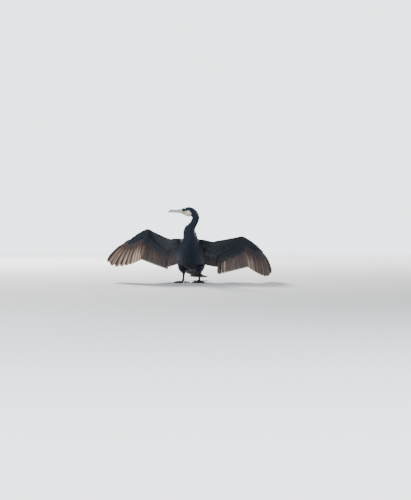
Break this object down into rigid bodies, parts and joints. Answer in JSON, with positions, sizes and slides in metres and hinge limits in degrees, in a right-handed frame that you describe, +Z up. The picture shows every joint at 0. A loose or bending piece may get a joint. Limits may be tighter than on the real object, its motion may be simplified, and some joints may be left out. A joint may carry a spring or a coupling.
{
  "type": "great cormorant",
  "caption": "Life-size still model of a great cormorant standing with its wings held open to dry and its head turned to its right.",
  "frame": {"origin": "on the floor, under the middle of the whole bird's footprint", "axes": "+Z up; the bird's breast faces -Y and its tail points to +Y; its left wing reaches to +X and its right wing to -X; its bill points to -X"},
  "size_m": [0.9566, 0.4884, 0.4387],
  "materials": {
    "plumage": "glossy black small feathers",
    "flight_feathers": "satin dark brown vanes",
    "tail_feathers": "satin black stiff vanes",
    "bill_horn": "satin horn",
    "throat": "pale bare skin and short white feathers",
    "eye": "wet and clear",
    "foot_skin": "matt black scaled skin"
  },
  "bodies": {
    "root": {"head": "plumage", "neck": "plumage", "torso": "plumage", "thigh_left": "plumage", "thigh_right": "plumage", "tail": "tail_feathers", "wing_left_upper": "plumage", "wing_left_forearm": "flight_feathers", "wing_left_hand": "flight_feathers", "wing_right_upper": "plumage", "wing_right_forearm": "flight_feathers", "wing_right_hand": "flight_feathers", "bill_upper": "bill_horn", "bill_lower": "bill_horn", "gular_pouch": "throat", "eye_left": "eye", "eye_right": "eye", "tarsus_left": "foot_skin", "tarsus_right": "foot_skin", "foot_left": "foot_skin", "foot_right": "foot_skin"}
  },
  "joints": []
}
